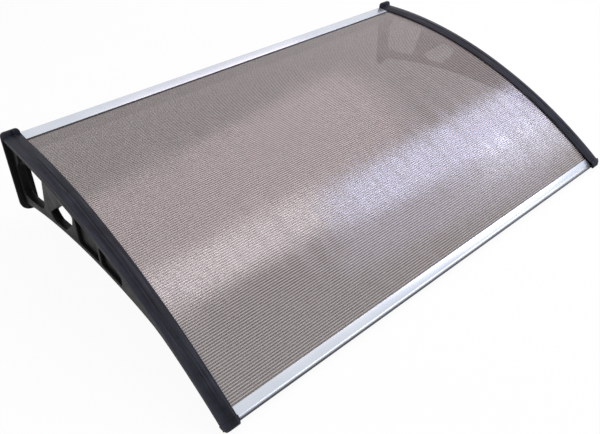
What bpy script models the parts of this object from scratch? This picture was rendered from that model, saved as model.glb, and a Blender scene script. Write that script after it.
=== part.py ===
"""Door canopy: an arched twin-wall sheet, two moulded side brackets and two aluminium edge profiles.

Units are metres. X runs along the wall, the wall is the plane Y = 0, the canopy stands out
towards -Y, and Z is up. The origin is on the rear profile's back face, half way along it.
"""

import math

import bpy
import bmesh
import numpy as np
from mathutils import Matrix

# Overall form
WIDTH = 1.200
PROJECTION = 0.766
ARCH_RADIUS = 1.210
ARCH_CROWN = 0.072
RAIL_TOP_AT_WALL = 0.0208
CLEARANCE = 0.0003
OVERRUN = 0.0010
WELD = 0.00001
CUT_PAST = 0.0200

# Twin-wall sheet
SHEET_THICKNESS = 0.005
SHEET_SKIN = 0.0005
SHEET_RIB = 0.0005
SHEET_PITCH = 0.005
SHEET_SIDE_SEAT = 0.0272
SHEET_END_GAP = 0.0008

# Rail along the top of each bracket
RAIL_WIDTH = 0.0372
RAIL_HEIGHT = 0.0130
RAIL_TAPER = 0.0052
TAPER_START = 0.11
TAPER_END = 0.45
LIP_THICKNESS = 0.0035
LIP_ROUND = 0.0012
CREST_RISE = 0.0038
SHOULDER_RISE = 0.0032
OUTER_ROUND = 0.0030
SIDE_DEPTHS = (
    # distance from the wall, depth of the rail's outer face under its inner lip
    (0.00, 0.0060),
    (0.09, 0.0090),
    (0.14, 0.0130),
    (0.28, 0.0150),
    (0.39, 0.0130),
    (0.49, 0.0090),
    (0.59, 0.0060),
    (0.77, 0.0050),
)
LIP_CREST = 0.0002
BEAD_HEIGHT = 0.0008
BEAD_POSITION = 0.0175
BEAD_WIDTH = 0.0030
BEAD_START = 0.09
BEAD_END_INSET = 0.036
BEAD_FADE = 0.08

# Web under the rail, with its openings
WEB_INSET = 0.0080
WEB_THICKNESS = 0.0170
UNDERSIDE_RADIUS = 1.364
UNDERSIDE_CROWN = 0.375
UNDERSIDE_DEPTH = 0.0798
UNDERSIDE_BLEND = 0.0040
TAIL_DEPTH = 0.0205
TAIL_RISE = 0.0036
TAIL_RISE_RUN = (0.156, 0.021)
TOP_CHORD = 0.0210
WEB_CORE = 0.0040
RIB = 0.0085
FLANGE = 0.0105
POST_FRONT = 0.0210
POST_SHOULDER = 0.0660
BOSS_RELIEF = (0.0365, 0.0490)
OPENING_FLOOR = 0.1370
REAR_OPENING_TOP = (0.0440, 0.1625)
REAR_OPENING_HEEL = 0.0600
REAR_OPENING_TOE = (0.1330, 0.1225)
MIDDLE_OPENING_TAIL = (0.1670, 0.1070)
MIDDLE_OPENING_TOP = (0.2450, 0.2870)
MIDDLE_OPENING_TOP_DROP = 0.0330
MIDDLE_OPENING_FRONT = (0.2760, 0.0810)
MIDDLE_OPENING_FLOOR = (0.2350, 0.1870)
FRONT_POCKETS = ((0.2970, 0.3790), (0.3880, 0.4630))
REAR_OPENING_ROUNDS = (0.003, 0.006, 0.006, 0.007, 0.030, 0.034, 0.006)
MIDDLE_OPENING_ROUNDS = (0.005, 0.020, 0.034, 0.020, 0.006, 0.008)
INNER_POCKET_ROUNDS = (0.004, 0.005, 0.004)
FRONT_POCKET_ROUND = 0.006

# Wall plate
PLATE_THICKNESS = 0.0070
PLATE_WIDTH = 0.0415
PLATE_OVERHANG = 0.0035
PLATE_RISE = 0.0147
PLATE_FALL = 0.1885
PLATE_TOP_ROUND = 0.0090
PLATE_FOOT_ROUNDS = (0.0240, 0.0140)
BOLT_HOLE = 0.0060
BOLT_CUT = 0.0400
BOLT_FROM_EDGE = 0.0065
BOLT_HEIGHTS = (-0.050, -0.142)

# End boss for the rear profile, and the nose
BOSS_LENGTH = 0.0345
BOSS_FLOOR_DEPTH = 0.0220
NOSE_LENGTH = 0.0120
NOSE_RISE = 0.0008
NOSE_STEP = 0.0010
NOSE_HEIGHT = 0.0100
NOSE_BROW = 0.0030
NOSE_CHIN = 0.0025
NOSE_OUTER_CORNER = 0.0140
NOSE_INNER_CORNER = 0.0040
NOSE_INSET = 0.0030

# Edge profiles
WALL = 0.0015
REAR_LIP_REACH = 0.0340
REAR_LIP_RISE = 0.0020
REAR_TOP_ROUND = 0.0015
REAR_BOX = 0.0205
REAR_BACK_DROP = 0.0200
REAR_PORT_RUN = 0.0130
REAR_PORT_HEIGHTS = (-0.0145, -0.0030)
FRONT_INSET = 0.0240
FRONT_SLOT = 0.0155
FRONT_LENGTH = 0.0258
FRONT_ROUND = 0.0060
FRONT_DEPTH = 0.0175
FRONT_PORT_RUN = 0.0185
FRONT_PORT_DROP = 0.0125
PORT_WALL = 0.0020

# Seal and screws
SEAL_WIDTH = 0.0034
SEAL_RISE = 0.0014
SCREW_RADIUS = 0.0020
SCREW_HEAD_HEIGHT = 0.0026
SCREW_BITE = 0.0160
HEAD_SEAT = 0.0060
HEAD_STEPS = ((0.0, 0.0021), (0.0007, 0.0033), (0.0016, 0.0038))
SCREW_POINT = 0.0030

HALF_WIDTH = WIDTH / 2
SCREW_HEAD_RADIUS = HEAD_STEPS[-1][1]
FRONT_START = PROJECTION - FRONT_INSET
BEAD_END = PROJECTION - BEAD_END_INSET
INNER_EDGE = PLATE_WIDTH - PLATE_OVERHANG
REAR_HALF = HALF_WIDTH - INNER_EDGE - CLEARANCE
FRONT_HALF = HALF_WIDTH - RAIL_WIDTH - CLEARANCE
SHEET_DROP = LIP_THICKNESS + CLEARANCE
SLOT_FLOOR = SHEET_DROP + SHEET_THICKNESS + CLEARANCE
PROFILE_DROP = LIP_THICKNESS - WALL
SHEET_REAR = REAR_BOX + SHEET_END_GAP
ARCH_CENTRE_Z = RAIL_TOP_AT_WALL - math.sqrt(ARCH_RADIUS**2 - ARCH_CROWN**2)
CROWN_Z = ARCH_CENTRE_Z + ARCH_RADIUS


def arch_angle(distance):
    """Angle from upright, about the arch's centre, of the point this far from the wall."""
    return math.asin((distance - ARCH_CROWN) / ARCH_RADIUS)


def arch_at(angle, drop):
    """(y, z) of the point at an angle round the arch and this far under the rail's lip."""
    radius = ARCH_RADIUS - drop
    return -ARCH_CROWN - radius * math.sin(angle), ARCH_CENTRE_Z + radius * math.cos(angle)


def arch(distance, drop=0.0):
    return arch_at(arch_angle(distance), drop)


def arch_run(start, run, drop):
    """The arch's point a length of curve beyond the one that lies start from the wall."""
    return arch_at(arch_angle(start) + run / ARCH_RADIUS, drop)


def arch_line(start, end, drop, steps):
    return [arch(start + (end - start) * i / steps, drop) for i in range(steps + 1)]


def arch_height(distance, drop):
    """Height of the curve that lies drop under the rail's lip, straight above a point on the floor."""
    offset = distance - ARCH_CROWN
    return ARCH_CENTRE_Z + math.sqrt((ARCH_RADIUS - drop) ** 2 - offset**2)


def quarter(centre, radius, start, end, steps=6):
    """Points of an arc in the (y, z) plane, with its angles in degrees."""
    turns = [math.radians(start + (end - start) * i / steps) for i in range(steps + 1)]
    return [(centre[0] + radius * math.cos(t), centre[1] + radius * math.sin(t)) for t in turns]


def filleted(corners, radii, steps=6):
    """An outline with each corner rounded by an arc of its own radius."""
    outline = []
    for i, (corner, radius) in enumerate(zip(corners, radii)):
        before = corners[i - 1]
        after = corners[(i + 1) % len(corners)]
        back = math.atan2(before[1] - corner[1], before[0] - corner[0])
        ahead = math.atan2(after[1] - corner[1], after[0] - corner[0])
        opening = (ahead - back + math.pi) % (2 * math.pi) - math.pi
        reach = radius / math.sin(abs(opening) / 2)
        middle = back + opening / 2
        centre = (corner[0] + reach * math.cos(middle), corner[1] + reach * math.sin(middle))
        sweep = math.copysign(math.pi - abs(opening), opening)
        first = middle + math.pi + sweep / 2
        for k in range(steps + 1):
            turn = first - sweep * k / steps
            outline.append((centre[0] + radius * math.cos(turn), centre[1] + radius * math.sin(turn)))
    return outline


def clear_scene():
    for item in list(bpy.data.objects):
        bpy.data.objects.remove(item, do_unlink=True)


def material(name, colour, roughness, metallic=0.0, alpha=1.0):
    made = bpy.data.materials.new(name)
    made.use_nodes = True
    shader = made.node_tree.nodes["Principled BSDF"]
    shader.inputs["Base Color"].default_value = (*colour, 1.0)
    shader.inputs["Roughness"].default_value = roughness
    shader.inputs["Metallic"].default_value = metallic
    shader.inputs["Alpha"].default_value = alpha
    return made


def add_object(name, bm, surface=None):
    bmesh.ops.recalc_face_normals(bm, faces=bm.faces)
    mesh = bpy.data.meshes.new(name)
    bm.to_mesh(mesh)
    bm.free()
    made = bpy.data.objects.new(name, mesh)
    if surface:
        mesh.materials.append(surface)
    bpy.context.scene.collection.objects.link(made)
    return made


def prism(outline, x_from, x_to):
    """A (y, z) outline drawn out along X."""
    bm = bmesh.new()
    face = bm.faces.new([bm.verts.new((x_from, y, z)) for y, z in outline])
    drawn = bmesh.ops.extrude_face_region(bm, geom=[face])
    ends = [item for item in drawn["geom"] if isinstance(item, bmesh.types.BMVert)]
    bmesh.ops.translate(bm, vec=(x_to - x_from, 0, 0), verts=ends)
    return bm


def turned(profile, y, z, side, segments=20):
    """A profile of (distance in from the bracket's outer face, radius), spun about a line along X."""
    bm = bmesh.new()
    verts = [bm.verts.new((side * (HALF_WIDTH - u), y + r, z)) for u, r in profile]
    edges = [bm.edges.new(pair) for pair in zip(verts, verts[1:])]
    bmesh.ops.spin(
        bm, geom=verts + edges, cent=(0, y, z), axis=(1, 0, 0), angle=2 * math.pi,
        steps=segments, use_merge=True,
    )
    bmesh.ops.remove_doubles(bm, verts=bm.verts, dist=WELD)
    return bm


def helper(name, bm):
    made = add_object(name, bm)
    made.hide_render = True
    made.display_type = "WIRE"
    return made


def combine(target, operation, tool):
    modifier = target.modifiers.new(tool.name, "BOOLEAN")
    modifier.operation = operation
    modifier.solver = "EXACT"
    modifier.object = tool


def blend(value, start, end):
    """0 before start, 1 after end and a straight line between."""
    return min(1.0, max(0.0, (value - start) / (end - start)))


def side_depth(distance):
    """Depth of the rail's outer face, which is deepest a third of the way out."""
    stations, depths = zip(*SIDE_DEPTHS)
    return float(np.interp(distance, stations, depths))


def rail_section(distance):
    """(distance in from the outer face, drop under the lip) round the rail, outer foot first."""
    rise = blend(distance, BEAD_START, BEAD_START + BEAD_FADE)
    fall = blend(distance, BEAD_END - BEAD_FADE, BEAD_END)
    bead = BEAD_HEIGHT * (rise - fall)
    soft = 0.3 * OUTER_ROUND
    outer = RAIL_TAPER * blend(distance, TAPER_START, TAPER_END)
    return [
        (outer, side_depth(distance)),
        (outer, OUTER_ROUND - SHOULDER_RISE),
        (outer + soft, soft - SHOULDER_RISE),
        (outer + OUTER_ROUND, -SHOULDER_RISE),
        (BEAD_POSITION - BEAD_WIDTH, -CREST_RISE),
        (BEAD_POSITION - BEAD_WIDTH * 0.6, -CREST_RISE - bead),
        (BEAD_POSITION, -CREST_RISE - bead),
        (BEAD_POSITION + BEAD_WIDTH * 0.4, -CREST_RISE + bead),
        (BEAD_POSITION + BEAD_WIDTH, -CREST_RISE + bead),
        (BEAD_POSITION + BEAD_WIDTH * 1.4, -CREST_RISE),
        (RAIL_WIDTH - LIP_ROUND, -LIP_CREST),
        (RAIL_WIDTH, LIP_ROUND - LIP_CREST),
        (RAIL_WIDTH, RAIL_HEIGHT),
        (WEB_INSET, RAIL_HEIGHT),
    ]


def rail(side, stations=40):
    """The rail's section carried along the arch, closed at both ends."""
    start = PLATE_THICKNESS * 0.4
    end = PROJECTION - NOSE_LENGTH * 0.4
    bm = bmesh.new()
    rings = []
    for i in range(stations + 1):
        distance = start + (end - start) * i / stations
        ring = []
        for inward, drop in rail_section(distance):
            y, z = arch(distance, drop)
            ring.append(bm.verts.new((side * (HALF_WIDTH - inward), y, z)))
        rings.append(ring)
    for near, far in zip(rings, rings[1:]):
        for k in range(len(near)):
            bm.faces.new((near[k - 1], near[k], far[k], far[k - 1]))
    bm.faces.new(rings[0])
    bm.faces.new(rings[-1])
    return bm


def underside(distance):
    """Height of the bracket's lower edge: a long arch that runs smoothly into a line under the rail."""
    offset = distance - UNDERSIDE_CROWN
    fall = UNDERSIDE_RADIUS - math.sqrt(UNDERSIDE_RADIUS**2 - offset**2)
    crown = arch_height(UNDERSIDE_CROWN, 0.0) - UNDERSIDE_DEPTH
    long_arch = crown - fall
    start, end = TAIL_RISE_RUN
    rise = TAIL_RISE * blend(distance, PROJECTION - start, PROJECTION - end)
    tail = arch_height(distance, TAIL_DEPTH - rise)
    return (long_arch + tail) / 2 - math.hypot((long_arch - tail) / 2, UNDERSIDE_BLEND)


def underside_depth(distance):
    return CROWN_Z - underside(distance)


def web(side, stations=36):
    start = PLATE_THICKNESS * 0.5
    end = PROJECTION - NOSE_LENGTH
    distances = [start + (end - start) * i / stations for i in range(stations + 1)]
    root = (SLOT_FLOOR + RAIL_HEIGHT) / 2
    top = [(-d, arch_height(d, root)) for d in distances]
    bottom = [(-d, underside(d)) for d in reversed(distances)]
    outer = side * (HALF_WIDTH - WEB_INSET)
    return prism(top + bottom, outer, outer - side * WEB_THICKNESS)


def wall_plate(side):
    top = RAIL_TOP_AT_WALL + PLATE_RISE
    bottom = RAIL_TOP_AT_WALL - PLATE_FALL
    outer = HALF_WIDTH + PLATE_OVERHANG
    inner = HALF_WIDTH - INNER_EDGE
    corners = [(side * outer, top), (side * outer, bottom), (side * inner, bottom), (side * inner, top)]
    outline = filleted(corners, (PLATE_TOP_ROUND, *PLATE_FOOT_ROUNDS, PLATE_TOP_ROUND), 7)
    bm = bmesh.new()
    face = bm.faces.new([bm.verts.new((x, 0.0, z)) for x, z in outline])
    drawn = bmesh.ops.extrude_face_region(bm, geom=[face])
    ends = [item for item in drawn["geom"] if isinstance(item, bmesh.types.BMVert)]
    bmesh.ops.translate(bm, vec=(0, -PLATE_THICKNESS, 0), verts=ends)
    return bm


def end_boss(side):
    """The block that the rear profile's end stands against, as wide as the plate at its back."""
    start = PLATE_THICKNESS * 0.6
    outline = arch_line(start, BOSS_LENGTH, LIP_CREST, 4)
    outline += [(-BOSS_LENGTH, -BOSS_FLOOR_DEPTH), (-start, -BOSS_FLOOR_DEPTH)]
    outer = side * (HALF_WIDTH - WEB_INSET - WEB_THICKNESS * 0.5)
    return prism(outline, outer, side * (HALF_WIDTH - INNER_EDGE))


def nose(side, tag):
    """The blunt end of the rail: a raised edge, a rounded brow and an upright front."""
    back = PROJECTION - NOSE_LENGTH
    top = -CREST_RISE - NOSE_RISE
    front_top = arch_height(PROJECTION, top)
    floor = front_top - NOSE_HEIGHT
    outline = [
        arch(back - NOSE_STEP, side_depth(back)),
        arch(back, 0.0),
        arch(back, -CREST_RISE),
        arch(back + NOSE_STEP, top),
        (-PROJECTION + NOSE_BROW, arch_height(PROJECTION - NOSE_BROW, top)),
        (-PROJECTION + NOSE_BROW * 0.3, front_top - NOSE_BROW * 0.3),
        (-PROJECTION, front_top - NOSE_BROW),
        (-PROJECTION, floor + NOSE_CHIN),
        (-PROJECTION + NOSE_CHIN, floor),
    ]
    outer = side * (HALF_WIDTH - NOSE_INSET)
    inner = side * (HALF_WIDTH - RAIL_WIDTH)
    block = helper(f"nose_block_{tag}", prism(outline, outer, inner))
    front = -PROJECTION
    rear = front + NOSE_LENGTH * 5
    corners = [(outer, front), (inner, front), (inner, rear), (outer, rear)]
    plan = filleted(corners, (NOSE_OUTER_CORNER, NOSE_INNER_CORNER, NOSE_STEP, NOSE_STEP))
    bm = bmesh.new()
    face = bm.faces.new([bm.verts.new((x, y, floor - CUT_PAST)) for x, y in plan])
    drawn = bmesh.ops.extrude_face_region(bm, geom=[face])
    ends = [item for item in drawn["geom"] if isinstance(item, bmesh.types.BMVert)]
    bmesh.ops.translate(bm, vec=(0, 0, NOSE_HEIGHT + 3 * CUT_PAST), verts=ends)
    combine(block, "INTERSECT", helper(f"nose_plan_{tag}", bm))
    return block


def below_crown(distance, depth):
    """(y, z) of a point given by its distance from the wall and its depth under the arch's crown."""
    return -distance, CROWN_Z - depth


def under_chord(distance):
    return -distance, arch_height(distance, TOP_CHORD)


def openings():
    """Outlines of the two holes right through the web."""
    rear_top, front_top = REAR_OPENING_TOP
    rear = filleted(
        [
            under_chord(rear_top),
            below_crown(*BOSS_RELIEF),
            below_crown(POST_FRONT, POST_SHOULDER),
            below_crown(POST_FRONT, OPENING_FLOOR),
            below_crown(REAR_OPENING_HEEL, OPENING_FLOOR),
            below_crown(*REAR_OPENING_TOE),
            under_chord(front_top),
        ],
        REAR_OPENING_ROUNDS,
    )
    top_rear, top_front = MIDDLE_OPENING_TOP
    floor_front, floor_rear = MIDDLE_OPENING_FLOOR
    middle = filleted(
        [
            below_crown(*MIDDLE_OPENING_TAIL),
            below_crown(floor_rear, underside_depth(floor_rear) - FLANGE),
            below_crown(floor_front, underside_depth(floor_front) - FLANGE),
            below_crown(*MIDDLE_OPENING_FRONT),
            (-top_front, arch_height(top_front, MIDDLE_OPENING_TOP_DROP)),
            (-top_rear, arch_height(top_rear, MIDDLE_OPENING_TOP_DROP)),
        ],
        MIDDLE_OPENING_ROUNDS,
    )
    return [rear, middle]


def inner_pocket():
    """Outline of the pocket between the two openings, sunk in the web's inner face only."""
    tail, tail_depth = MIDDLE_OPENING_TAIL
    return filleted(
        [
            under_chord(REAR_OPENING_TOP[1] + RIB),
            below_crown(tail - RIB * 0.5, tail_depth - RIB * 2),
            under_chord(MIDDLE_OPENING_TOP[0] - RIB),
        ],
        INNER_POCKET_ROUNDS,
    )


def pockets():
    """Outlines of the shallow pockets sunk in both faces of the web, with a rib left between them."""
    outlines = []
    for rear, front in FRONT_POCKETS:
        corners = [
            under_chord(rear),
            below_crown(rear, underside_depth(rear) - FLANGE),
            below_crown(front, underside_depth(front) - FLANGE),
            under_chord(front),
        ]
        outlines.append(filleted(corners, (FRONT_POCKET_ROUND,) * 4))
    return outlines


def screw_places():
    """(y, z, distance in of the head's seat, distance in of the profile's end) of each screw on one side."""
    rear = [(-REAR_PORT_RUN, z, WEB_INSET + HEAD_SEAT, INNER_EDGE + CLEARANCE) for z in REAR_PORT_HEIGHTS]
    front = arch_run(FRONT_START, FRONT_PORT_RUN, FRONT_PORT_DROP)
    return rear + [(*front, WEB_INSET + HEAD_SEAT, RAIL_WIDTH + CLEARANCE)]


def bracket(name, side, surface):
    body = add_object(name, rail(side), surface)
    tag = name.replace("bracket_", "")
    combine(body, "UNION", helper(f"web_{tag}", web(side)))
    combine(body, "UNION", helper(f"plate_{tag}", wall_plate(side)))
    combine(body, "UNION", helper(f"boss_{tag}", end_boss(side)))
    combine(body, "UNION", nose(side, tag))

    slot_front = FRONT_START + FRONT_SLOT
    slot_outline = arch_line(SHEET_REAR - SHEET_END_GAP, slot_front, LIP_THICKNESS, 40)
    slot_outline += reversed(arch_line(SHEET_REAR - SHEET_END_GAP, slot_front, SLOT_FLOOR, 40))
    slot_wall = RAIL_WIDTH - SHEET_SIDE_SEAT - 2 * CLEARANCE
    slot_end = HALF_WIDTH - PLATE_WIDTH - CUT_PAST
    slot = prism(slot_outline, side * (HALF_WIDTH - slot_wall), side * slot_end)
    combine(body, "DIFFERENCE", helper(f"slot_{tag}", slot))

    outer_face = HALF_WIDTH - WEB_INSET
    inner_face = outer_face - WEB_THICKNESS
    depth = (WEB_THICKNESS - WEB_CORE) / 2
    for i, outline in enumerate(openings()):
        cutter = prism(outline, side * (outer_face + OVERRUN), side * (inner_face - OVERRUN))
        combine(body, "DIFFERENCE", helper(f"opening_{tag}_{i}", cutter))
    for i, outline in enumerate(pockets()):
        outside = prism(outline, side * (outer_face + OVERRUN), side * (outer_face - depth))
        inside = prism(outline, side * (inner_face - OVERRUN), side * (inner_face + depth))
        combine(body, "DIFFERENCE", helper(f"outer_pocket_{tag}_{i}", outside))
        combine(body, "DIFFERENCE", helper(f"inner_pocket_{tag}_{i}", inside))
    single = prism(inner_pocket(), side * (inner_face - OVERRUN), side * (inner_face + depth))
    combine(body, "DIFFERENCE", helper(f"single_pocket_{tag}", single))

    for i, height in enumerate(BOLT_HEIGHTS):
        bm = bmesh.new()
        made = bmesh.ops.create_cone(
            bm, cap_ends=True, segments=24, radius1=BOLT_HOLE / 2, radius2=BOLT_HOLE / 2, depth=BOLT_CUT
        )
        bmesh.ops.rotate(bm, verts=made["verts"], matrix=Matrix.Rotation(math.pi / 2, 3, "X"))
        across = side * (HALF_WIDTH - INNER_EDGE + BOLT_FROM_EDGE)
        bmesh.ops.translate(bm, verts=made["verts"], vec=(across, 0, height))
        combine(body, "DIFFERENCE", helper(f"bolt_hole_{tag}_{i}", bm))

    for i, (y, z, seat, end) in enumerate(screw_places()):
        hole = SCREW_RADIUS + CLEARANCE
        recess = SCREW_HEAD_RADIUS + CLEARANCE
        far = end + CUT_PAST / 2
        profile = [(-CUT_PAST, 0.0), (-CUT_PAST, recess), (seat, recess)]
        profile += [(seat, hole), (far, hole), (far, 0.0)]
        combine(body, "DIFFERENCE", helper(f"screw_hole_{tag}_{i}", turned(profile, y, z, side)))
    body.data.shade_smooth()
    body.data.set_sharp_from_angle(angle=math.radians(30))
    return body


def screws(surface):
    for side, side_name in ((-1, "left"), (1, "right")):
        for i, (y, z, seat, end) in enumerate(screw_places()):
            place = ("rear_lower", "rear_upper", "front")[i]
            head = SCREW_HEAD_RADIUS
            top = seat - CLEARANCE - SCREW_HEAD_HEIGHT
            shank = SCREW_RADIUS
            tip = end + SCREW_BITE
            profile = [(top, 0.0)]
            profile += [(top + sunk, radius) for sunk, radius in HEAD_STEPS]
            profile += [(seat - CLEARANCE, head), (seat - CLEARANCE, shank)]
            profile += [(tip - SCREW_POINT, shank), (tip, 0.0)]
            made = add_object(f"screw_{side_name}_{place}", turned(profile, y, z, side), surface)
            made.data.shade_smooth()
            made.data.set_sharp_from_angle(angle=math.radians(35))


def sheet(surface):
    """Two skins and the ribs between them, drawn out across the canopy, so that every flute is open."""
    front = FRONT_START
    start = arch_angle(SHEET_REAR)
    length = (arch_angle(front) - start) * ARCH_RADIUS + FRONT_SLOT - SHEET_END_GAP
    flutes = int((length - SHEET_RIB) / SHEET_PITCH)
    drops = [
        SHEET_DROP,
        SHEET_DROP + SHEET_SKIN,
        SHEET_DROP + SHEET_THICKNESS - SHEET_SKIN,
        SHEET_DROP + SHEET_THICKNESS,
    ]
    first_rib = length - flutes * SHEET_PITCH
    runs = [0.0]
    for i in range(flutes + 1):
        rib_end = first_rib + i * SHEET_PITCH
        runs += [rib_end - SHEET_RIB, rib_end] if i else [rib_end]
    half = HALF_WIDTH - RAIL_WIDTH + SHEET_SIDE_SEAT
    bm = bmesh.new()
    grid = []
    for run in runs:
        angle = start + run / ARCH_RADIUS
        grid.append([bm.verts.new((-half, *arch_at(angle, drop))) for drop in drops])
    for i, (near, far) in enumerate(zip(grid, grid[1:])):
        is_rib = i % 2 == 0
        for k in (0, 1, 2):
            if k != 1 or is_rib:
                bm.faces.new((near[k], near[k + 1], far[k + 1], far[k]))
    drawn = bmesh.ops.extrude_face_region(bm, geom=bm.faces[:])
    ends = [item for item in drawn["geom"] if isinstance(item, bmesh.types.BMVert)]
    bmesh.ops.translate(bm, vec=(2 * half, 0, 0), verts=ends)
    return add_object("twin_wall_sheet", bm, surface)


def rear_profile(surface):
    """Box section at the wall, with a flat top, a slot for the sheet's rear edge and two screw ports."""
    half = REAR_HALF
    reach = REAR_LIP_REACH
    lip_y, lip_z = arch(reach, PROFILE_DROP)
    top_z = lip_z + REAR_LIP_RISE
    fall = REAR_LIP_RISE / reach
    box_floor = -REAR_BACK_DROP
    outline = [(lip_y, lip_z), (-REAR_TOP_ROUND * 2, top_z - REAR_TOP_ROUND * 2 * fall)]
    outline += quarter((-REAR_TOP_ROUND, top_z - REAR_TOP_ROUND), REAR_TOP_ROUND, 90, 0)
    outline += [(0.0, box_floor), (-REAR_BOX, box_floor)]
    outline += arch_line(REAR_BOX, reach, SLOT_FLOOR + WALL, 3)
    outline += arch_line(reach, REAR_BOX, SLOT_FLOOR, 3)
    outline += arch_line(REAR_BOX, reach, LIP_THICKNESS, 3)
    body = add_object("rear_profile", prism(outline, -half, half), surface)

    box_wall = REAR_BOX - WALL
    roof = top_z - WALL * 1.6
    chamber = [
        (-WALL, box_floor + WALL),
        (-box_wall, box_floor + WALL),
        (-box_wall, roof - box_wall * fall),
        (-WALL, roof),
    ]
    combine(body, "DIFFERENCE", helper("rear_chamber", prism(chamber, -half - CUT_PAST, half + CUT_PAST)))
    for i, height in enumerate(REAR_PORT_HEIGHTS):
        port_body = ring_outline(-REAR_PORT_RUN, height, SCREW_RADIUS + PORT_WALL)
        stem_half = PORT_WALL * 0.6
        port_stem = [
            (-box_wall - WALL * 0.5, height - stem_half),
            (-REAR_PORT_RUN, height - stem_half),
            (-REAR_PORT_RUN, height + stem_half),
            (-box_wall - WALL * 0.5, height + stem_half),
        ]
        combine(body, "UNION", helper(f"port_stem_{i}", prism(port_stem, -half, half)))
        combine(body, "UNION", helper(f"port_body_{i}", prism(port_body, -half, half)))
    for i, height in enumerate(REAR_PORT_HEIGHTS):
        bore = ring_outline(-REAR_PORT_RUN, height, SCREW_RADIUS + CLEARANCE)
        combine(body, "DIFFERENCE", helper(f"rear_bore_{i}", prism(bore, -half - CUT_PAST, half + CUT_PAST)))
    return body


def ring_outline(y, z, radius, steps=16):
    turns = [2 * math.pi * i / steps for i in range(steps)]
    return [(y + radius * math.cos(t), z + radius * math.sin(t)) for t in turns]


def front_profile(surface):
    """Bullnose section that closes the sheet's front edge, with a screw port under the slot."""
    half = FRONT_HALF

    def at(run, drop):
        return arch_run(FRONT_START, run, drop)

    def corner(run, drop, radius, start, end):
        return [at(run + p, drop - q) for p, q in quarter((0.0, 0.0), radius, start, end)]

    brow = FRONT_ROUND
    chin = FRONT_ROUND * 0.6
    shelf = SLOT_FLOOR + WALL
    outline = [at(0.0, PROFILE_DROP), at(FRONT_SLOT * 0.5, PROFILE_DROP)]
    outline += corner(FRONT_LENGTH - brow, PROFILE_DROP + brow, brow, 90, 0)
    outline += corner(FRONT_LENGTH - chin, FRONT_DEPTH - chin, chin, 0, -90)
    outline += [at(WALL * 2, FRONT_DEPTH), at(WALL * 2, shelf), at(0.0, shelf), at(0.0, SLOT_FLOOR)]
    outline += [at(FRONT_SLOT * 0.5, SLOT_FLOOR), at(FRONT_SLOT, SLOT_FLOOR)]
    outline += [at(FRONT_SLOT, LIP_THICKNESS), at(FRONT_SLOT * 0.5, LIP_THICKNESS), at(0.0, LIP_THICKNESS)]
    body = add_object("front_profile", prism(outline, -half, half), surface)

    chamber_end = FRONT_PORT_RUN - SCREW_RADIUS - PORT_WALL
    chamber = [
        at(WALL * 3, shelf),
        at(chamber_end, shelf),
        at(chamber_end, FRONT_DEPTH - WALL),
        at(WALL * 3, FRONT_DEPTH - WALL),
    ]
    combine(body, "DIFFERENCE", helper("front_chamber", prism(chamber, -half - CUT_PAST, half + CUT_PAST)))
    bore = ring_outline(*at(FRONT_PORT_RUN, FRONT_PORT_DROP), SCREW_RADIUS + CLEARANCE)
    combine(body, "DIFFERENCE", helper("front_bore", prism(bore, -half - CUT_PAST, half + CUT_PAST)))
    return body


def rear_seal(surface):
    """Rubber bead on the sheet, along the front edge of the rear profile."""
    half = REAR_HALF
    start = REAR_LIP_REACH + CLEARANCE
    floor = SHEET_DROP - CLEARANCE
    outline = [
        arch(start, floor),
        arch(start, floor - SEAL_RISE),
        arch(start + SEAL_WIDTH * 0.5, floor - SEAL_RISE),
        arch(start + SEAL_WIDTH, floor - SEAL_RISE * 0.3),
        arch(start + SEAL_WIDTH, floor),
    ]
    return add_object("rear_seal", prism(outline, -half, half), surface)


def build():
    clear_scene()
    black = material("moulded_plastic", (0.022, 0.023, 0.030), 0.42)
    metal = material("aluminium", (0.78, 0.80, 0.84), 0.28, 1.0)
    smoke = material("polycarbonate", (0.36, 0.33, 0.31), 0.12, 0.0, 0.6)
    rubber = material("seal_rubber", (0.02, 0.02, 0.02), 0.8)
    steel = material("screw_steel", (0.62, 0.63, 0.65), 0.35, 1.0)
    sheet(smoke)
    bracket("bracket_left", -1, black)
    bracket("bracket_right", 1, black)
    rear_profile(metal)
    front_profile(metal)
    rear_seal(rubber)
    screws(steel)


build()
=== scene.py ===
# %% [markdown]
# # A door canopy in Blender
#
# The object is a small canopy that is screwed to the wall above a door. A smoke-tinted twin-wall
# sheet lies on an arch. Its sides sit in two black moulded brackets, and its rear and front edges sit
# in two aluminium profiles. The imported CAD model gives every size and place. This lesson rounds the
# edges, rebuilds the pieces that need finer forms and gives each one its finish.

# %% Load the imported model
import math

import bmesh
import bpy
from mathutils import Matrix, Vector


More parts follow.
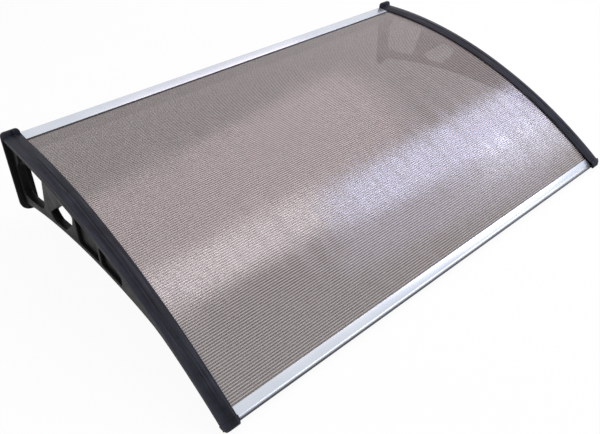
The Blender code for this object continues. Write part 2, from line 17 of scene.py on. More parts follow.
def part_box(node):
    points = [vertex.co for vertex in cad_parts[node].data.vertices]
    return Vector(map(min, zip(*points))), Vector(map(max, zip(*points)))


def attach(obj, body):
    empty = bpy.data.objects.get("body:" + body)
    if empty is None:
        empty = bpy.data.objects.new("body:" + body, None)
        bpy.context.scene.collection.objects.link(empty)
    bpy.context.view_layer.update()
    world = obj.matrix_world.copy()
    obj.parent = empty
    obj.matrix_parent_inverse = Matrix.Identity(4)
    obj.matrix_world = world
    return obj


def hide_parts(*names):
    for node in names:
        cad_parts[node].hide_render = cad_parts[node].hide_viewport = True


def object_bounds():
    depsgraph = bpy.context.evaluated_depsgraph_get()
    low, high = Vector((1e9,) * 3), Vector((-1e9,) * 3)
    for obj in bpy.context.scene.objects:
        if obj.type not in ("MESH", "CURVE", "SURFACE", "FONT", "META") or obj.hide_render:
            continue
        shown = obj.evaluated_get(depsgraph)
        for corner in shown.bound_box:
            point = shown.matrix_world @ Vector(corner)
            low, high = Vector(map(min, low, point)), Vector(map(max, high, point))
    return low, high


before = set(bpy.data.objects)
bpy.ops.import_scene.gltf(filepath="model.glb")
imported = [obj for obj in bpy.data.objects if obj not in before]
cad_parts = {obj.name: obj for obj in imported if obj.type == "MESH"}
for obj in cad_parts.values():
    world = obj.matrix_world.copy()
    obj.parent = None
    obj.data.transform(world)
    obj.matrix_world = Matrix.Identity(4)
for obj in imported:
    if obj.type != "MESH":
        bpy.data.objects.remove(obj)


def in_mm(*metres):
    return [round(1000 * length, 1) for length in metres]


cad_low, cad_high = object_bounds()
print("CAD nodes:", ", ".join(sorted(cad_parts)))
print("CAD box in mm:", in_mm(*(cad_high - cad_low)))

# %% [markdown]
# ## The camera
#
# The photograph was taken from above the left front corner. A camera has a place, two directions and
# a lens. All of them came from fitting the canopy's straight edges, so they are written down as
# numbers here. The way that the camera looks is square to the two directions. The small shift keeps
# the canopy where the picture has it, with no turn of the camera.

# %% Place the camera
CAMERA_PLACE = Vector((-0.93956, -1.36075, 0.75694))
RIGHT = Vector((0.73847, -0.67429, -0.00010))
DOWN = Vector((-0.37703, -0.41279, -0.82913))
FORWARD = RIGHT.cross(DOWN)
IMAGE_WIDTH = 600
IMAGE_HEIGHT = 434
FOCAL_PIXELS = 677.641
AXIS_PIXEL = (316.810, 176.244)
SENSOR_WIDTH = 36.0
NEAREST_SEEN = 0.05
FARTHEST_SEEN = 60.0

camera_data = bpy.data.cameras.new("camera")
camera = bpy.data.objects.new("camera", camera_data)
bpy.context.scene.collection.objects.link(camera)
turn = Matrix((RIGHT, -DOWN, -FORWARD)).transposed()
camera.matrix_world = Matrix.Translation(CAMERA_PLACE) @ turn.to_4x4()
camera_data.sensor_width = SENSOR_WIDTH
camera_data.sensor_fit = "HORIZONTAL"
camera_data.lens = FOCAL_PIXELS / IMAGE_WIDTH * SENSOR_WIDTH
camera_data.shift_x = (IMAGE_WIDTH / 2 - AXIS_PIXEL[0]) / IMAGE_WIDTH
camera_data.shift_y = (AXIS_PIXEL[1] - IMAGE_HEIGHT / 2) / IMAGE_WIDTH
camera_data.clip_start = NEAREST_SEEN
camera_data.clip_end = FARTHEST_SEEN
bpy.context.scene.camera = camera
print("lens", round(camera_data.lens, 2), "mm")

# %% [markdown]
# ## The arch
#
# Everything on the canopy follows one arch, so its radius and the place of its top are written down
# once. The top, or crown, stands a little way out from the wall, and the sheet lies just under the
# arch. The sheet's own numbers are those of a common 5 mm twin-wall sheet: skins and ribs of half a
# millimetre, with a rib every 5 mm. The ribs are counted back from the sheet's front end. Measuring
# the CAD sheet for its two ends keeps the finished sheet in the same place.

# %% The arch and the sheet's numbers
ARCH_RADIUS = 1.210
CROWN_FROM_WALL = 0.072
RAIL_TOP_AT_WALL = 0.0208
ARCH_CENTRE_Z = RAIL_TOP_AT_WALL - math.sqrt(ARCH_RADIUS**2 - CROWN_FROM_WALL**2)
ARCH_CENTRE = Vector((0.0, -CROWN_FROM_WALL, ARCH_CENTRE_Z))
SHEET_DROP = 0.0038
SHEET_THICKNESS = 0.005
SKIN = 0.0005
RIB = 0.0005
PITCH = 0.005

sheet_low, sheet_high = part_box("twin_wall_sheet")
outer_radius = ARCH_RADIUS - SHEET_DROP
inner_radius = outer_radius - SHEET_THICKNESS
first_angle = math.asin((-sheet_high.y - CROWN_FROM_WALL) / outer_radius)
last_angle = math.asin((-sheet_low.y - CROWN_FROM_WALL) / inner_radius)
arc_length = (last_angle - first_angle) * ARCH_RADIUS
flutes = int((arc_length - RIB) / PITCH)
first_rib_angle = last_angle - (flutes * PITCH + RIB) / ARCH_RADIUS
print("sheet's arc in mm:", in_mm(arc_length), "with", flutes, "flutes")

# %% [markdown]
# ## Helpers for meshes
#
# A CAD node comes in as loose triangles. A copy is merged into one skin, and the triangles that lie in
# one plane are joined, so that only the real edges stay. Those edges can then be rounded with a
# bevel, as a mould or an extrusion die rounds them. The alternative, a bevel in the material, would
# look alike from near but would leave the mesh sharp.

# %% Copy a CAD node as a clean mesh
WELD = 0.00003
FLAT = math.radians(0.6)


def merged_copy(node):
    bm = bmesh.new()
    bm.from_mesh(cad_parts[node].data)
    bmesh.ops.remove_doubles(bm, verts=bm.verts, dist=WELD)
    bmesh.ops.dissolve_limit(
        bm, angle_limit=FLAT, use_dissolve_boundaries=False,
        verts=bm.verts, edges=bm.edges, delimit=set(),
    )
    return bm


# %% Round the sharp edges
SHARP = math.radians(28)


def round_edges(bm, radius, segments):
    edges = [e for e in bm.edges if e.is_manifold and e.is_convex and e.calc_face_angle(0) > SHARP]
    bmesh.ops.bevel(
        bm, geom=edges, offset=radius, offset_type="OFFSET", segments=segments, profile=0.5,
        affect="EDGES", clamp_overlap=False, loop_slide=True, material=-1,
    )
    return len(edges)


# %% Turn a bmesh into a piece that rides on the canopy
NO_LENGTH = 0.000001
SMOOTH_UNDER = math.radians(35)


def finish_piece(bm, name, surface, node):
    """Closes up what has no length or area, and lets the piece stand in for a CAD node."""
    bmesh.ops.dissolve_degenerate(bm, edges=bm.edges, dist=NO_LENGTH)
    mesh = bpy.data.meshes.new(name)
    bm.to_mesh(mesh)
    bm.free()
    piece = bpy.data.objects.new(name, mesh)
    bpy.context.scene.collection.objects.link(piece)
    mesh.materials.append(surface)
    mesh.shade_smooth()
    mesh.set_sharp_from_angle(angle=SMOOTH_UNDER)
    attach(piece, "root")
    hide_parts(node)
    print(name, "has", len(mesh.polygons), "faces")


def rounded_piece(node, name, radius, segments, surface):
    bm = merged_copy(node)
    rounded = round_edges(bm, radius, segments)
    print(f"{node}: {rounded} edges rounded")
    finish_piece(bm, name, surface, node)


# %% [markdown]
# ## Helpers for materials
#
# Every finish starts from the same shader and from points on the object itself, so that a pattern
# stays on the canopy when the camera moves. A pattern can be stretched by scaling those points
# first: a noise that is squeezed across the canopy becomes lines that run along it.

# %% Start a material
def start_material(name):
    """The material, its node tree, its shader and the points on the object."""
    made = bpy.data.materials.new(name)
    made.use_nodes = True
    tree = made.node_tree
    shader = tree.nodes["Principled BSDF"]
    points = tree.nodes.new("ShaderNodeTexCoord").outputs["Object"]
    return made, tree, shader, points


# %% A noise pattern, stretched or not
def noise(tree, points, scale=1.0, detail=3.0, stretch=(1.0, 1.0, 1.0), roughness=0.5):
    mapping = tree.nodes.new("ShaderNodeMapping")
    mapping.inputs["Scale"].default_value = stretch
    tree.links.new(points, mapping.inputs["Vector"])
    pattern = tree.nodes.new("ShaderNodeTexNoise")
    pattern.inputs["Scale"].default_value = scale
    pattern.inputs["Detail"].default_value = detail
    pattern.inputs["Roughness"].default_value = roughness
    tree.links.new(mapping.outputs["Vector"], pattern.inputs["Vector"])
    return pattern.outputs["Fac"]


# %% Colours and numbers that follow a pattern
def ramp(tree, value, stops):
    """A colour that changes from stop to stop as the value rises."""
    made = tree.nodes.new("ShaderNodeValToRGB")
    elements = made.color_ramp.elements
    while len(elements) < len(stops):
        elements.new(0.5)
    for element, (place, colour) in zip(elements, stops):
        element.position = place
        element.color = (*colour, 1.0)
    tree.links.new(value, made.inputs["Fac"])
    return made.outputs["Color"]


def spread(tree, value, low, high, start=0.3, end=0.7):
    """A number that goes from low to high while the value goes from start to end."""
    made = tree.nodes.new("ShaderNodeMapRange")
    made.inputs["From Min"].default_value = start
    made.inputs["From Max"].default_value = end
    made.inputs["To Min"].default_value = low
    made.inputs["To Max"].default_value = high
    tree.links.new(value, made.inputs["Value"])
    return made.outputs["Result"]


# %% Mix two colours, and raise a surface
MIX_FACTOR = 0
MIX_FIRST = 6
MIX_SECOND = 7
MIX_RESULT = 2


def mix_colours(tree, factor, first, second):
    """The sockets go by number, because a Mix node has one of each name for every kind of value."""
    made = tree.nodes.new("ShaderNodeMix")
    made.data_type = "RGBA"
    tree.links.new(factor, made.inputs[MIX_FACTOR])
    tree.links.new(first, made.inputs[MIX_FIRST])
    if isinstance(second, tuple):
        made.inputs[MIX_SECOND].default_value = (*second, 1.0)
    else:
        tree.links.new(second, made.inputs[MIX_SECOND])
    return made.outputs[MIX_RESULT]


def raise_surface(tree, shader, height, depth):
    made = tree.nodes.new("ShaderNodeBump")
    made.inputs["Distance"].default_value = depth
    tree.links.new(height, made.inputs["Height"])
    tree.links.new(made.outputs["Normal"], shader.inputs["Normal"])


# %% [markdown]
# ## Patterns that follow the arch
#
# The flutes, the painted shade on the front edge and the painted sheen on the rails all follow the
# arch. So each point is given two numbers: how far it lies along the arch and how far from its centre.
# A few nodes that do sums are enough for that. A painted map would do it too, but it would need an
# image.

# %% Do sums with nodes
def calculate(tree, operation, first, second=None):
    made = tree.nodes.new("ShaderNodeMath")
    made.operation = operation
    for socket, value in zip(made.inputs, (first, second)):
        if isinstance(value, float):
            socket.default_value = value
        elif value is not None:
            tree.links.new(value, socket)
    return made.outputs[0]


def coordinates(tree, points):
    split = tree.nodes.new("ShaderNodeSeparateXYZ")
    tree.links.new(points, split.inputs["Vector"])
    return split.outputs


def around_the_arch(tree, points):
    """The distance along the arch and the distance from its centre."""
    place = coordinates(tree, points)
    from_crown = calculate(tree, "ADD", place["Y"], CROWN_FROM_WALL)
    out = calculate(tree, "MULTIPLY", from_crown, -1.0)
    up = calculate(tree, "SUBTRACT", place["Z"], ARCH_CENTRE_Z)
    out_squared = calculate(tree, "POWER", out, 2.0)
    up_squared = calculate(tree, "POWER", up, 2.0)
    radius = calculate(tree, "SQRT", calculate(tree, "ADD", out_squared, up_squared))
    angle = calculate(tree, "ARCTAN2", out, up)
    return calculate(tree, "MULTIPLY", angle, ARCH_RADIUS), radius


# %% [markdown]
# ## Moulded black plastic
#
# The brackets are dyed in the mass and come from a mould with a fine satin grain. The rail faces
# the sky. It is painted a bluish dark grey, a painted sheen over a little dust, with pale scuffs of
# wear that run along it, while the web and the plate below stay deep black. So the colour follows
# the distance from the arch's centre. The rail's outer side has a paler painted sheen and dust. The
# grain is a fine noise in the bump, and the scuffs are a noise squeezed across the rail.

# %% Make the plastic
DEEP_BLACK = [(0.30, (0.0030, 0.0030, 0.0032)), (0.72, (0.0062, 0.0062, 0.0066))]
# The rail's bluish grey is a painted sheen of the sky over a little dust, and its outer side gets a
# paler painted sheen.
RAIL_SHEEN_AND_DUST = [(0.32, (0.0075, 0.0084, 0.0115)), (0.68, (0.0170, 0.0190, 0.0260))]
OUTER_SIDE_SHEEN_AND_DUST = (0.034, 0.036, 0.046)
SCUFF_GREY = (0.066, 0.070, 0.086)
SHEEN_STARTS = ARCH_RADIUS - 0.006
SHEEN_FULL = ARCH_RADIUS - 0.002
RAIL_OUTSIDE = 0.600
OUTER_SIDE_STARTS = RAIL_OUTSIDE - 0.018
OUTER_SIDE_FULL = RAIL_OUTSIDE - 0.004
GRAIN_DEPTH = 0.00006


def moulded_plastic():
    made, tree, shader, points = start_material("moulded_plastic")
    cloud = noise(tree, points, scale=34.0, detail=5.0, roughness=0.6)
    black = ramp(tree, cloud, DEEP_BLACK)
    grey = ramp(tree, cloud, RAIL_SHEEN_AND_DUST)
    sideways = calculate(tree, "ABSOLUTE", coordinates(tree, points)["X"])
    outside = spread(tree, sideways, low=0.0, high=0.7, start=OUTER_SIDE_STARTS, end=OUTER_SIDE_FULL)
    grey = mix_colours(tree, outside, grey, OUTER_SIDE_SHEEN_AND_DUST)
    scuffs = noise(tree, points, detail=5.0, stretch=(300.0, 9.0, 9.0), roughness=0.65)
    scuffed = spread(tree, scuffs, low=0.0, high=0.75, start=0.50, end=0.76)
    grey = mix_colours(tree, scuffed, grey, SCUFF_GREY)
    radius = around_the_arch(tree, points)[1]
    # The painted sheen and dust cover the rail near the arch, and the web and plate keep their black.
    sheen_mask = spread(tree, radius, 0.0, 1.0, SHEEN_STARTS, SHEEN_FULL)
    tree.links.new(mix_colours(tree, sheen_mask, black, grey), shader.inputs["Base Color"])
    tree.links.new(spread(tree, cloud, low=0.38, high=0.54), shader.inputs["Roughness"])
    shader.inputs["IOR"].default_value = 1.50
    shader.inputs["Specular IOR Level"].default_value = 0.09
    raise_surface(tree, shader, noise(tree, points, scale=1500.0, detail=2.0), GRAIN_DEPTH)
    return made


plastic = moulded_plastic()
print("made", plastic.name)

# %% [markdown]
# ## Aluminium
#
# An extruded profile carries fine lines along its length, left by the die, under a thin anodised
# layer. The same squeezed noise, here along the canopy's width, drives the roughness and a very
# small bump, so that a highlight breaks into fine lines. The real front profile starts to round off
# a little before the brow of the CAD model. The mesh keeps the CAD's form, and the bump falls away
# from there on, so that the highlight ends where it does on the real one. Below that highlight the
# nose is painted dark. This painted shade stands in for the shaded ground that the nose mirrors. The
# fall and the painted shade both follow the distance past the sheet's front end.

# %% Make the aluminium
ANODISED = [(0.30, (0.58, 0.62, 0.69)), (0.70, (0.65, 0.69, 0.75))]
# The nose's dark colour is a painted shade, which stands in for the shaded ground that it mirrors.
NOSE_PAINTED_SHADE = (0.045, 0.045, 0.048)
NOSE_SHADE_STARTS = 0.0012
NOSE_SHADE_FULL = 0.0056
LINE_DEPTH = 0.00001
BROW_STARTS = -0.0024
BROW_RADIUS = 0.009
NOSE_LENGTH = 0.011


def height_of_the_nose(tree, lines, past_sheet):
    """In metres. A round edge falls by the square of the distance over twice its radius."""
    reach = NOSE_LENGTH - BROW_STARTS
    past_brow = spread(tree, past_sheet, 0.0, reach, BROW_STARTS, NOSE_LENGTH)
    fall = calculate(tree, "DIVIDE", calculate(tree, "POWER", past_brow, 2.0), 2 * BROW_RADIUS)
    return calculate(tree, "SUBTRACT", calculate(tree, "MULTIPLY", lines, LINE_DEPTH), fall)


def aluminium_finish():
    made, tree, shader, points = start_material("aluminium")
    shader.inputs["Metallic"].default_value = 0.90
    colour = ramp(tree, noise(tree, points, scale=9.0), ANODISED)
    along = around_the_arch(tree, points)[0]
    past_sheet = calculate(tree, "SUBTRACT", along, last_angle * ARCH_RADIUS)
    # Painted shade on the nose, from just past the sheet's front end.
    painted_nose_shade = spread(tree, past_sheet, 0.0, 1.0, NOSE_SHADE_STARTS, NOSE_SHADE_FULL)
    tree.links.new(mix_colours(tree, painted_nose_shade, colour, NOSE_PAINTED_SHADE), shader.inputs["Base Color"])
    lines = noise(tree, points, detail=4.0, stretch=(1.3, 1400.0, 1400.0), roughness=0.6)
    tree.links.new(spread(tree, lines, low=0.22, high=0.32), shader.inputs["Roughness"])
    raise_surface(tree, shader, height_of_the_nose(tree, lines, past_sheet), depth=1.0)
    return made


aluminium = aluminium_finish()
print("made", aluminium.name)

# %% [markdown]
# ## Smoke-tinted polycarbonate
#
# The sheet is clear plastic with a grey-brown tint. A glass shader bends the light at each of its
# four faces, which is slow and leaves the ground below dark. A partly see-through surface on real
# skins and ribs gives the same look: each skin hides a share of what is behind it.
#
# Every flute catches daylight, and that light is painted into the top skin's colour as a colour ramp
# over the distance along the arch: a painted pale stripe in each flute and painted shade over each rib.
# They lie in the top skin, which is the denser one, so that they stay clear against a bright ground.
# Both skins mirror the sky, so the shine is set a little above that of one plain surface. Rain leaves
# faint runs down the slope, which are a noise squeezed across it; they make the shine uneven too.

# %% A painted stripe of daylight in every flute
# The pale stripe is painted daylight in each flute, and the dark line is painted shade over each rib.
PAINTED_RIB_SHADE = (0.018, 0.016, 0.015)
PAINTED_FLUTE_LIGHT = (0.425, 0.342, 0.314)
PAINTED_LIGHT_STRIPE = [
    (0.0, PAINTED_RIB_SHADE), (0.20, PAINTED_RIB_SHADE), (0.44, PAINTED_FLUTE_LIGHT),
    (0.56, PAINTED_FLUTE_LIGHT), (0.80, PAINTED_RIB_SHADE), (1.0, PAINTED_RIB_SHADE),
]
MORE_THAN_ALL_FLUTES = 500.0


def painted_flute_light(tree, along):
    """Counts flutes from the middle of the first rib. The fraction is the place within a flute."""
    first_rib = (first_rib_angle * ARCH_RADIUS + RIB / 2) / PITCH
    count = calculate(tree, "SUBTRACT", calculate(tree, "DIVIDE", along, PITCH), first_rib)
    above_zero = calculate(tree, "ADD", count, MORE_THAN_ALL_FLUTES)
    return ramp(tree, calculate(tree, "FRACT", above_zero), PAINTED_LIGHT_STRIPE)


# %% Make the polycarbonate
SMOKE = [(0.32, (0.095, 0.075, 0.070)), (0.70, (0.125, 0.098, 0.090))]
DRIED_RAIN = (0.210, 0.182, 0.180)
LOWER_SKIN_HIDES = 0.24
TOP_SKIN_HIDES = 0.80


def smoke_polycarbonate():
    made, tree, shader, points = start_material("polycarbonate")
    along, radius = around_the_arch(tree, points)
    top_skin = calculate(tree, "GREATER_THAN", radius, outer_radius - SKIN / 2)
    colour = ramp(tree, noise(tree, points, scale=3.2, detail=4.0), SMOKE)
    runs = noise(tree, points, detail=5.0, stretch=(30.0, 2.2, 2.2), roughness=0.55)
    dusty = spread(tree, runs, low=0.0, high=0.5, start=0.52, end=0.78)
    colour = mix_colours(tree, dusty, colour, DRIED_RAIN)
    # The top skin takes the painted light and shade of the flutes.
    colour = mix_colours(tree, top_skin, colour, painted_flute_light(tree, along))
    tree.links.new(colour, shader.inputs["Base Color"])
    shine = spread(tree, runs, low=0.09, high=0.24, start=0.36, end=0.66)
    tree.links.new(shine, shader.inputs["Roughness"])
    shader.inputs["IOR"].default_value = 1.80
    shader.inputs["Specular IOR Level"].default_value = 0.45
    hides = spread(tree, top_skin, LOWER_SKIN_HIDES, TOP_SKIN_HIDES, start=0.0, end=1.0)
    tree.links.new(hides, shader.inputs["Alpha"])
    return made


polycarbonate = smoke_polycarbonate()
print("made", polycarbonate.name)

# %% [markdown]
# ## Rubber and screw steel
#
# The bead of rubber is matt and a little dusty. The screws are small and sit in the shade of their
# holes. Their zinc plating is bright but slightly uneven in tone. Both are plain shaders with one
# noise for colour and roughness and one for the bump, which is enough for pieces of this size.

# %% Make the rubber and the steel
DUSTY_BLACK = [(0.30, (0.014, 0.014, 0.015)), (0.75, (0.034, 0.034, 0.036))]
ZINC = [(0.30, (0.40, 0.40, 0.42)), (0.70, (0.56, 0.56, 0.57))]
RUBBER_GRAIN_DEPTH = 0.00005
ZINC_GRAIN_DEPTH = 0.00002


def seal_rubber():
    made, tree, shader, points = start_material("seal_rubber")
    cloud = noise(tree, points, scale=60.0)
    tree.links.new(ramp(tree, cloud, DUSTY_BLACK), shader.inputs["Base Color"])
    tree.links.new(spread(tree, cloud, low=0.66, high=0.85), shader.inputs["Roughness"])
    raise_surface(tree, shader, noise(tree, points, scale=1800.0, detail=2.0), RUBBER_GRAIN_DEPTH)
    return made


def screw_steel():
    made, tree, shader, points = start_material("screw_steel")
    shader.inputs["Metallic"].default_value = 1.0
    cloud = noise(tree, points, scale=240.0)
    tree.links.new(ramp(tree, cloud, ZINC), shader.inputs["Base Color"])
    tree.links.new(spread(tree, cloud, low=0.30, high=0.48), shader.inputs["Roughness"])
    raise_surface(tree, shader, noise(tree, points, scale=2500.0, detail=2.0), ZINC_GRAIN_DEPTH)
    return made


rubber = seal_rubber()
steel = screw_steel()
print("made", rubber.name, "and", steel.name)

# %% [markdown]
# ## The brackets
#
# Each bracket is one moulding: a plate against the wall, a curved rail that holds the sheet's side, a
# web under it with two openings, and a blunt nose. The CAD solid has the right form with sharp edges.
# A real mould can't make a sharp outer edge, so each one gets a radius of just under a millimetre.

# %% Round the brackets
MOULDED_EDGE = 0.0008
MOULDED_STEPS = 2

for node in ("bracket_left", "bracket_right"):
    rounded_piece(node, f"{node}_moulding", MOULDED_EDGE, MOULDED_STEPS, plastic)

# %% [markdown]
# ## The twin-wall sheet
#
# The sheet is two thin skins with ribs between them every 5 mm, and all of it follows the arch. One rib
# and one flute are made by spinning a column of four points about the arch's centre, and the pair is
# then spun on, as copies, to fill the length. The section is drawn out across the canopy last, as
# the die draws out the real one. An array of modelled flutes would do too, but it would not bend.
#
# The skins of a real sheet sink a little between the ribs as the plastic cools. This blurs what they
# mirror, so the middle of each flute is moved in by a few hundredths of a millimetre.

# %% Spin along the arch
def verts_in(geom):
    return [item for item in geom if isinstance(item, bmesh.types.BMVert)]


def edges_in(geom):
    return [item for item in geom if isinstance(item, bmesh.types.BMEdge)]


def spin_on(bm, geom, arc, steps, copies=False):
    """Spins about the arch's centre, away from the wall."""
    return bmesh.ops.spin(
        bm, geom=geom, cent=ARCH_CENTRE, axis=(1, 0, 0), dvec=(0, 0, 0),
        angle=arc / ARCH_RADIUS, steps=steps, use_merge=False, use_duplicate=copies,
    )["geom_last"]


# %% The first rib, from a column of points on the four faces of the skins
def column_of_points(bm, x, angle):
    verts = []
    for drop in (0.0, SKIN, SHEET_THICKNESS - SKIN, SHEET_THICKNESS):
        radius = outer_radius - drop
        y = ARCH_CENTRE.y - radius * math.sin(angle)
        z = ARCH_CENTRE.z + radius * math.cos(angle)
        verts.append(bm.verts.new((x, y, z)))
    edges = [bm.edges.new(pair) for pair in zip(verts, verts[1:])]
    return verts + edges


bm = bmesh.new()
rib_end = spin_on(bm, column_of_points(bm, sheet_low.x, first_rib_angle), RIB, steps=1)
rib_verts = set(bm.verts)
rib_faces = set(bm.faces)
print("first rib:", len(rib_faces), "faces")

# %% The flute next to it, which is two skins that sink in the middle
FLUTE_STEPS = 6
SAG = 0.00004


def sink_skins(verts, flute_angle):
    """Moves each skin towards the other between two ribs."""
    middle = outer_radius - SHEET_THICKNESS / 2
    for vert in verts:
        out = vert.co - ARCH_CENTRE
        out.x = 0.0
        along = (math.atan2(-out.y, out.z) - flute_angle) * ARCH_RADIUS / (PITCH - RIB)
        inwards = -1.0 if out.length > middle else 1.0
        vert.co += out.normalized() * inwards * SAG * math.sin(math.pi * along)


skin_edges = [e for e in edges_in(rib_end) if e.calc_length() < 2 * SKIN]
flute_end = spin_on(bm, verts_in(rib_end) + skin_edges, PITCH - RIB, FLUTE_STEPS)
sink_skins([v for v in bm.verts if v not in rib_verts], first_rib_angle + RIB / ARCH_RADIUS)
print("rib and flute:", len(bm.faces), "faces")

# %% The next rib, and the pair spun on as copies
column = sorted(verts_in(flute_end), key=lambda v: v.co.z, reverse=True)
rib_edge = bm.edges.new(column[1:3])
spin_on(bm, column + edges_in(flute_end) + [rib_edge], RIB, steps=1)
flute_faces = [f for f in bm.faces if f not in rib_faces]
flute_geom = set(flute_faces)
for face in flute_faces:
    flute_geom.update(face.verts, face.edges)
spin_on(bm, list(flute_geom), (flutes - 1) * PITCH, steps=flutes - 1, copies=True)
bmesh.ops.remove_doubles(bm, verts=bm.verts, dist=WELD)
print("flutes:", flutes, "with", len(bm.faces), "faces in the section")

# %% Draw the section out across the canopy
drawn = bmesh.ops.extrude_face_region(bm, geom=bm.faces[:])["geom"]
across = Vector((sheet_high.x - sheet_low.x, 0.0, 0.0))
bmesh.ops.translate(bm, vec=across, verts=verts_in(drawn))
bmesh.ops.recalc_face_normals(bm, faces=bm.faces)
finish_piece(bm, "twin_wall_sheet_fluted", polycarbonate, "twin_wall_sheet")

# %% [markdown]
# ## The aluminium profiles and the seal
#
# An extrusion's corners are small radii, a few tenths of a millimetre, which catch a thin line of
# light. The rubber bead is softer, so its radius is larger against its size.

# %% Round the profiles and the seal
EXTRUDED_EDGE = 0.0004
EXTRUDED_STEPS = 2
RUBBER_EDGE = 0.0005
RUBBER_STEPS = 3

for node in ("rear_profile", "front_profile"):
    rounded_piece(node, f"{node}_finished", EXTRUDED_EDGE, EXTRUDED_STEPS, aluminium)
rounded_piece("rear_seal", "rear_seal_finished", RUBBER_EDGE, RUBBER_STEPS, rubber)

# %% [markdown]
# ## The screws
#
# Each screw has a domed head with a crossed recess and a thread that bites into the profile's port.
# The head and shank are a line of points spun about the screw's axis. The thread is a small triangle
# spun with a step along the axis, which makes a helix. The recess is cut with two crossed bars. The
# left screws are turned a little about their axis, so that not all the crosses stand upright.

# %% Turn a head and a shank along X from the head's top
HEAD_RADIUS = 0.0038
HEAD_HEIGHT = 0.0026
HEAD_DOME = [(0.0, 0.0), (0.0, 0.0016), (0.0003, 0.0026), (0.0009, 0.0034), (0.0016, HEAD_RADIUS)]
SHANK_RADIUS = 0.0016
POINT_LENGTH = 0.0030
TURNING_STEPS = 40


def screw_body(length):
    """Each point of the outline is a place along the screw and a distance out from its axis."""
    outline = HEAD_DOME + [
        (HEAD_HEIGHT, HEAD_RADIUS), (HEAD_HEIGHT, SHANK_RADIUS),
        (length - POINT_LENGTH, SHANK_RADIUS), (length, 0.0),
    ]
    bm = bmesh.new()
    verts = [bm.verts.new((along, out, 0.0)) for along, out in outline]
    edges = [bm.edges.new(pair) for pair in zip(verts, verts[1:])]
    bmesh.ops.spin(
        bm, geom=verts + edges, cent=(0, 0, 0), axis=(1, 0, 0), dvec=(0, 0, 0),
        angle=2 * math.pi, steps=TURNING_STEPS, use_merge=True, use_duplicate=False,
    )
    bmesh.ops.remove_doubles(bm, verts=bm.verts, dist=WELD)
    bmesh.ops.recalc_face_normals(bm, faces=bm.faces)
    return bm


# %% Wind a thread round the shank
THREAD_RADIUS = 0.0020
THREAD_ROOT = SHANK_RADIUS - 0.0001
THREAD_PITCH = 0.0014
THREAD_STEPS = 20
PLAIN_SHANK = 0.003


def screw_thread(bm, length):
    first = HEAD_HEIGHT + PLAIN_SHANK
    turns = int((length - POINT_LENGTH - first) / THREAD_PITCH)
    half = THREAD_PITCH / 4
    corners = [(first - half, THREAD_ROOT), (first, THREAD_RADIUS), (first + half, THREAD_ROOT)]
    body_faces = set(bm.faces)
    verts = [bm.verts.new((along, out, 0.0)) for along, out in corners]
    face = bm.faces.new(verts)
    last = bmesh.ops.spin(
        bm, geom=verts + list(face.edges), cent=(0, 0, 0), axis=(1, 0, 0),
        dvec=(THREAD_PITCH / THREAD_STEPS, 0, 0), angle=2 * math.pi * turns,
        steps=THREAD_STEPS * turns, use_merge=False, use_duplicate=False,
    )["geom_last"]
    bm.faces.new(verts_in(last))
    bmesh.ops.recalc_face_normals(bm, faces=[f for f in bm.faces if f not in body_faces])
    return turns


# %% Cut the crossed recess with a Boolean, then read the result back
RECESS_LENGTH = 0.0044
RECESS_WIDTH = 0.0010
RECESS_DEPTH = 0.0013


def cross_cutter():
    bm = bmesh.new()
    for width, height in ((RECESS_LENGTH, RECESS_WIDTH), (RECESS_WIDTH, RECESS_LENGTH)):
        bar = bmesh.ops.create_cube(bm, size=1.0)["verts"]
        bmesh.ops.scale(bm, vec=(2 * RECESS_DEPTH, width, height), verts=bar)
    mesh = bpy.data.meshes.new("recess_cutter")
    bm.to_mesh(mesh)
    bm.free()
    return bpy.data.objects.new("recess_cutter", mesh)


def cut_recess(bm, cutter):
    mesh = bpy.data.meshes.new("screw_blank")
    bm.to_mesh(mesh)
    bm.free()
    blank = bpy.data.objects.new("screw_blank", mesh)
    for item in (blank, cutter):
        bpy.context.scene.collection.objects.link(item)
    cut = blank.modifiers.new("recess", "BOOLEAN")
    cut.operation = "DIFFERENCE"
    cut.solver = "EXACT"
    cut.use_self = True
    cut.object = cutter
    graph = bpy.context.evaluated_depsgraph_get()
    result = bmesh.new()
    result.from_mesh(blank.evaluated_get(graph).to_mesh())
    for item in (blank, cutter):
        bpy.data.objects.remove(item)
    return result


# %% Place the six screws where the CAD has them, with their heads outwards
LEFT_SCREW_TURN = Matrix.Rotation(math.radians(20), 3, "X")
RIGHT_SCREW_TURN = Matrix.Rotation(math.pi, 3, "Z")

for node in sorted(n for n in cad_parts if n.startswith("screw_")):
    low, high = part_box(node)
    length = high.x - low.x
    on_left = high.x < 0
    bm = cut_recess(screw_body(length), cross_cutter())
    turns = screw_thread(bm, length)
    place = Vector((low.x if on_left else high.x, (low.y + high.y) / 2, (low.z + high.z) / 2))
    turned = LEFT_SCREW_TURN if on_left else RIGHT_SCREW_TURN
    bmesh.ops.transform(bm, matrix=Matrix.Translation(place) @ turned.to_4x4(), verts=bm.verts)
    finish_piece(bm, f"{node}_threaded", steel, node)
    print(node, "has", turns, "turns of thread")

# %% [markdown]
# ## The floor and the world
#
# The picture has a white ground. The floor and the world are plain white to the camera and in the
# reflections, and the floor keeps a little of the canopy's shadow. Brighter lamps would make a grey
# floor white too, but they would bleach the canopy with it. For all other rays the floor is a pale
# matt surface, and the world gives an even light.

# %% The rays that see a white ground
def white_rays(tree):
    """One value is 1 for rays from the camera or through a surface, the other for mirrored rays."""
    rays = tree.nodes.new("ShaderNodeLightPath").outputs
    seen = calculate(tree, "MAXIMUM", rays["Is Camera Ray"], rays["Is Transmission Ray"])
    return seen, rays["Is Glossy Ray"]


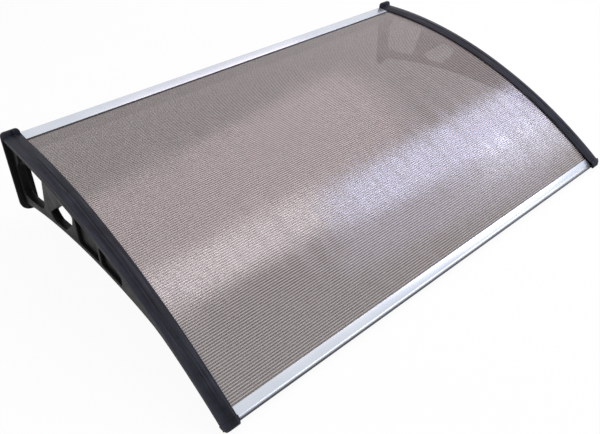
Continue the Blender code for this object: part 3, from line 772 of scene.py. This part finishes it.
def mix_shaders(tree, factor, plain, white, output):
    mixed = tree.nodes.new("ShaderNodeMixShader")
    tree.links.new(factor, mixed.inputs["Fac"])
    tree.links.new(plain.outputs[0], mixed.inputs[1])
    tree.links.new(white.outputs[0], mixed.inputs[2])
    tree.links.new(mixed.outputs[0], output.inputs["Surface"])


# %% The floor's material
FLOOR_COLOUR = (0.86, 0.86, 0.87, 1.0)
SHADOW_SEEN = 0.07
SHADOW_REFLECTED = 0.50


def floor_material():
    made = bpy.data.materials.new("pale_floor")
    made.use_nodes = True
    tree = made.node_tree
    tree.nodes.clear()
    matt = tree.nodes.new("ShaderNodeBsdfDiffuse")
    matt.inputs["Color"].default_value = FLOOR_COLOUR
    glow = tree.nodes.new("ShaderNodeEmission")
    glow.inputs["Strength"].default_value = 1.0
    seen, glossy = white_rays(tree)
    seen = calculate(tree, "MULTIPLY", seen, 1.0 - SHADOW_SEEN)
    glossy = calculate(tree, "MULTIPLY", glossy, 1.0 - SHADOW_REFLECTED)
    output = tree.nodes.new("ShaderNodeOutputMaterial")
    mix_shaders(tree, calculate(tree, "MAXIMUM", seen, glossy), matt, glow, output)
    return made


# %% The floor, just under the canopy
FLOOR_HALF_SIZE = 8.0
FLOOR_GAP = 0.0005

bm = bmesh.new()
bmesh.ops.create_grid(bm, x_segments=1, y_segments=1, size=FLOOR_HALF_SIZE)
bmesh.ops.translate(bm, vec=(0, 0, cad_low.z - FLOOR_GAP), verts=bm.verts)
floor_mesh = bpy.data.meshes.new("floor")
bm.to_mesh(floor_mesh)
bm.free()
floor = bpy.data.objects.new("floor", floor_mesh)
floor_mesh.materials.append(floor_material())
bpy.context.scene.collection.objects.link(floor)
print("floor's height in mm:", in_mm(cad_low.z - FLOOR_GAP))

# %% The world
WORLD_COLOUR = (0.56, 0.56, 0.59, 1.0)
WHITE = (1.0, 1.0, 1.0, 1.0)

world = bpy.data.worlds.new("studio")
bpy.context.scene.world = world
world.use_nodes = True
tree = world.node_tree
tree.nodes.clear()
even = tree.nodes.new("ShaderNodeBackground")
even.inputs["Color"].default_value = WORLD_COLOUR
white = tree.nodes.new("ShaderNodeBackground")
white.inputs["Color"].default_value = WHITE
output = tree.nodes.new("ShaderNodeOutputWorld")
mix_shaders(tree, calculate(tree, "MAXIMUM", *white_rays(tree)), even, white, output)
print("made the world", world.name)

# %% [markdown]
# ## The lamps
#
# The canopy's shine comes from softboxes. A softbox is placed by the direction in which it is seen from
# the sheet's middle, because that decides where it is mirrored. Lamps don't hide the world behind
# them, so a mirror shows the lamp's tone on top of the white. Two softboxes hang over the canopy,
# and their reflection makes the pale band across the sheet's lower half. Three more light the
# sheet's right side, its front corner and its rear. The last two have a level side. They light the
# front profile's nose and the near bracket.

# %% A softbox that is seen in one direction from the sheet's middle
SHEET_MIDDLE = Vector((0.0, -0.45, -0.05))
LAMP_DISTANCE = 2.6
WATTS_FOR_WHITE = 4.0
Y_AXIS = Vector((0.0, 1.0, 0.0))
Z_AXIS = Vector((0.0, 0.0, 1.0))


def softbox(name, towards, size, tone, square_to=Y_AXIS):
    """The first side is square to one axis. The watts are those for each square metre of the face."""
    data = bpy.data.lights.new(name, "AREA")
    data.shape = "RECTANGLE"
    data.size, data.size_y = size
    data.energy = WATTS_FOR_WHITE * size[0] * size[1] * max(tone)
    data.color = [part / max(tone) for part in tone]
    lamp = bpy.data.objects.new(name, data)
    bpy.context.scene.collection.objects.link(lamp)
    out = Vector(towards).normalized()
    across = square_to.cross(out).normalized()
    turn = Matrix((across, out.cross(across), out)).transposed()
    lamp.matrix_world = Matrix.Translation(SHEET_MIDDLE + out * LAMP_DISTANCE) @ turn.to_4x4()
    print(name, "with", round(data.energy, 1), "watts")


# %% Hang the softboxes
softbox("band_softbox_left", (0.27, -0.050, 0.96), (1.40, 0.62), tone=(3.3, 2.95, 3.1))
softbox("band_softbox_right", (0.72, -0.090, 0.69), (1.40, 0.60), tone=(3.2, 3.3, 4.7))
softbox("right_softbox", (0.69, -0.298, 0.65), (1.4, 0.70), tone=(0.92, 0.91, 1.28))
softbox("corner_softbox", (0.86, -0.235, 0.465), (0.8, 0.46), tone=(2.0, 2.1, 2.6))
softbox("rear_softbox", (0.37, 0.33, 0.86), (2.1, 1.6), tone=(1.2, 0.9, 0.95))
softbox("front_softbox", (0.47, -0.78, 0.18), (4.2, 0.5), tone=(1.75, 1.75, 1.80), square_to=Z_AXIS)
softbox("left_softbox", (-0.80, -0.35, 0.45), (1.4, 1.2), tone=(1.6, 1.6, 1.7), square_to=Z_AXIS)
bpy.context.scene.view_settings.view_transform = "Standard"
